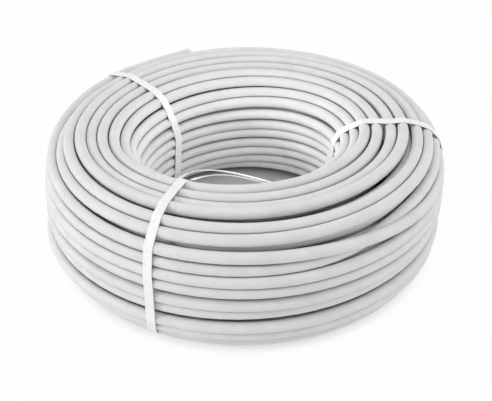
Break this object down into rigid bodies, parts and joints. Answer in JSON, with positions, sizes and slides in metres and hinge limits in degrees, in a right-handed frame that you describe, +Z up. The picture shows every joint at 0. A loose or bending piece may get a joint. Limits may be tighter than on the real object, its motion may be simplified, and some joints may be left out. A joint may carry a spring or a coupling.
{
  "type": "coiled silicone cable",
  "caption": "Ring coil of round pale grey silicone cable, tied round with flat white plastic straps, its cut outer end lying loose along the outer wall.",
  "frame": {"origin": "on the coil's axis, at the level of the strap undersides that it rests on", "axes": "+Z up along the coil's axis, -Y towards the viewer of the picture, +X to the right"},
  "size_m": [0.2962, 0.296, 0.0946],
  "materials": {
    "sheath": "matte, pale grey",
    "strap": "satin, white",
    "copper": "bright copper, freshly cut"
  },
  "bodies": {
    "root": {"cable_coil": "sheath", "cable_end": "sheath", "conductor": "copper", "strap_left": "strap", "strap_front": "strap", "strap_right": "strap"}
  },
  "joints": []
}
